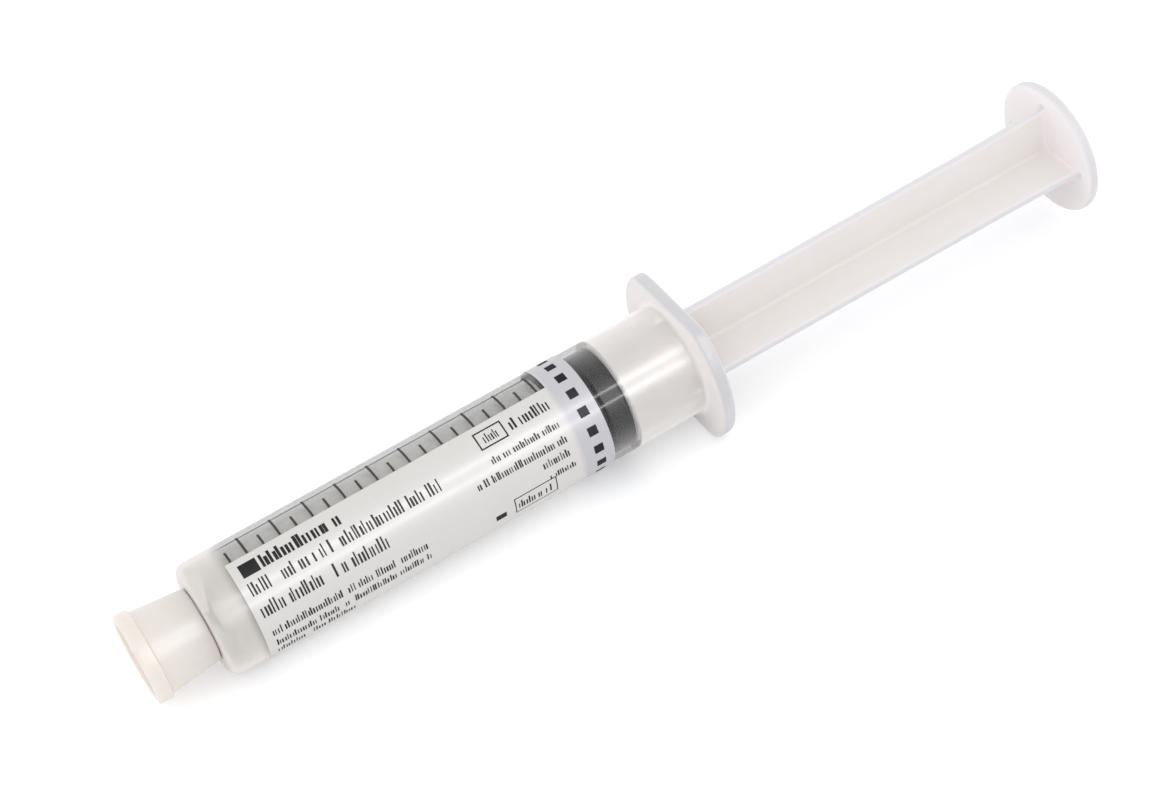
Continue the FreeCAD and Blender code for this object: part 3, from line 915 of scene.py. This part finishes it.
dressed(makeRod(rod), rodPlastic, "plunger", "rod_plastic", "plunger_rod")
print("plunger rod made")


# The tip cap: its skirt covers the collar, and its hub sits on the luer tip
cap = {
    "end": -1.6, "mouth": 8.7, "rim": 6.9, "rimWidth": 2.2, "skirtEnd": 6.45,
    "skirtMouth": 5.62, "inside": 5.04, "floor": -0.3, "hub": 3.35, "hubEnd": 7.3,
    "hubMouth": 2.24, "hubRoot": 2.03, "recess": 5.6, "recessDepth": 0.5,
}


def makeCap(size):
    end, rim, mouth, inside = size["end"], size["rim"], size["mouth"], size["inside"]
    floor, hub, hubEnd, recess = size["floor"], size["hub"], size["hubEnd"], size["recess"]
    dish, rimEnd = end + size["recessDepth"], end + size["rimWidth"]
    return turned("tipCap", [
        (dish, 0), (dish, recess, 0.35), (end, recess, 0.3), (end, rim, 0.45),
        (rimEnd, rim, 0.4), (rimEnd, size["skirtEnd"], 0.3), (mouth, size["skirtMouth"], 0.2),
        (mouth, inside, 0.15), (floor, inside, 0.3), (floor, hub, 0.3), (hubEnd, hub, 0.3),
        (hubEnd, size["hubMouth"], 0.15), (floor, size["hubRoot"], 0.15), (floor, 0),
    ])


dressed(makeCap(cap), capPlastic, "cap", "cap_plastic", "tip_cap")
print("tip cap made")


# The saline, from the channel in the tip to the stopper's nose
saline = {"skin": 0.02, "noseStep": 0.6, "kept": 0.047}


def makeSaline(size):
    skin = size["skin"]
    lumen, bore, floor = barrel["lumen"] - skin, barrel["bore"] - skin, barrel["boreFloor"]
    nose, ringFront = stopper["nose"] - skin, stopper["ringFront"]
    return turned("saline", [
        (skin, 0), (skin, lumen), (floor, lumen, 0.2), (barrel["coneRim"], bore, 0.4),
        (ringFront, bore, 0.1), (ringFront - skin, stopper["ring"] - size["noseStep"], 0.1),
        (nose, stopper["noseFlat"], 0.4), (nose, 0),
    ])


salinePiece = makeSaline(saline)
dressed(salinePiece, salineWater, "barrel", "saline", "saline_fill")
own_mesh(salinePiece)
print("saline made")


# Where it lies: the flange's flat and the label's front edge touch the floor
floorLook = {"size": 4000.0, "colour": tone(250, 250, 251), "whiteness": 0.26}
pureWhite = (1, 1, 1, 1)


def makeFloor(look):
    rise = (label["outside"] - barrel["flangeFlat"]) / (barrel["flangeFront"] - label["front"])
    half = look["size"] / 2
    mesh = bmesh.new()
    corners = []
    for x, y in ((-half, -half), (half, -half), (half, half), (-half, half)):
        height = -label["outside"] + rise * (x - label["front"])
        corners.append(mesh.verts.new((x * mm, y * mm, height * mm)))
    mesh.faces.new(corners)
    floor = placed("floor", mesh)
    paint = Paint("floorPaper")
    surface = paint.node("ShaderNodeBsdfDiffuse", {}, {"Color": look["colour"]})
    glow = paint.node("ShaderNodeEmission", {}, {
        "Color": pureWhite, "Strength": look["whiteness"]})
    lit = paint.node("ShaderNodeAddShader", {}, {0: surface, 1: glow})
    shown = paint.node("ShaderNodeMixShader", {}, {0: paint.looked(), 1: surface, 2: lit})
    paint.node("ShaderNodeOutputMaterial", {}, {"Surface": shown})
    floor.data.materials.append(paint.material)


makeFloor(floorLook)

# Each lamp looks straight across at the axis, so its long side lies along the syringe
lamps = {
    "overhead": {"place": (60, -90, 830), "size": (520, 340), "power": 0.25,
                 "colour": (1.0, 0.985, 0.96), "lightsFloor": True},
    "upperStrip": {"place": (175, -216, 320), "size": (330, 9), "power": 2.4,
                   "colour": (1.0, 1.0, 1.0), "lightsFloor": False},
    "lowerStrip": {"place": (175, -328, 205), "size": (330, 9), "power": 2.4,
                   "colour": (1.0, 1.0, 1.0), "lightsFloor": False},
}
for name, lamp in lamps.items():
    light = bpy.data.lights.new(name, "AREA")
    light.shape = "RECTANGLE"
    light.size = lamp["size"][0] * mm
    light.size_y = lamp["size"][1] * mm
    light.energy = lamp["power"]
    light.color = lamp["colour"]
    holder = bpy.data.objects.new(name, light)
    holder.location = Vector(lamp["place"]) * mm
    away = Vector((0, *lamp["place"][1:]))
    holder.rotation_euler = away.to_track_quat("Z", "Y").to_euler()
    holder.visible_camera = False
    holder.visible_diffuse = lamp["lightsFloor"]
    scene.collection.objects.link(holder)

# The studio's soft light, with plain white wherever the camera sees it
studio = {"colour": (0.965, 0.98, 1.0, 1), "strength": 1.06}
world = bpy.data.worlds.new("studio")
scene.world = world
world.use_nodes = True
world.node_tree.nodes.clear()
sky = Graph(world.node_tree.nodes, world.node_tree.links)
soft = sky.node("ShaderNodeBackground", {}, {
    "Color": studio["colour"], "Strength": studio["strength"]})
white = sky.node("ShaderNodeBackground", {}, {"Color": pureWhite, "Strength": 1.0})
both = sky.node("ShaderNodeMixShader", {}, {0: sky.looked(), 1: soft, 2: white})
sky.node("ShaderNodeOutputWorld", {}, {"Surface": both})

# The camera, at the photograph's viewing angle
view = {"place": (-24.256, -252.391, 263.191), "aim": (72.677, 0.574, 0.573),
        "roll": 14.404, "lens": 79.806, "sensor": 36.0, "nearest": 1.0}
optics = bpy.data.cameras.new("camera")
optics.lens = view["lens"]
optics.sensor_width = view["sensor"]
optics.clip_start = view["nearest"] * mm
camera = bpy.data.objects.new("camera", optics)
forward = (Vector(view["aim"]) - Vector(view["place"])).normalized()
roll = Quaternion(forward, math.radians(view["roll"]))
camera.rotation_mode = "QUATERNION"
camera.rotation_quaternion = roll @ forward.to_track_quat("-Z", "Y")
camera.location = Vector(view["place"]) * mm
scene.collection.objects.link(camera)
scene.camera = camera
scene.view_settings.view_transform = "Standard"
print("stage, lamps and camera placed")
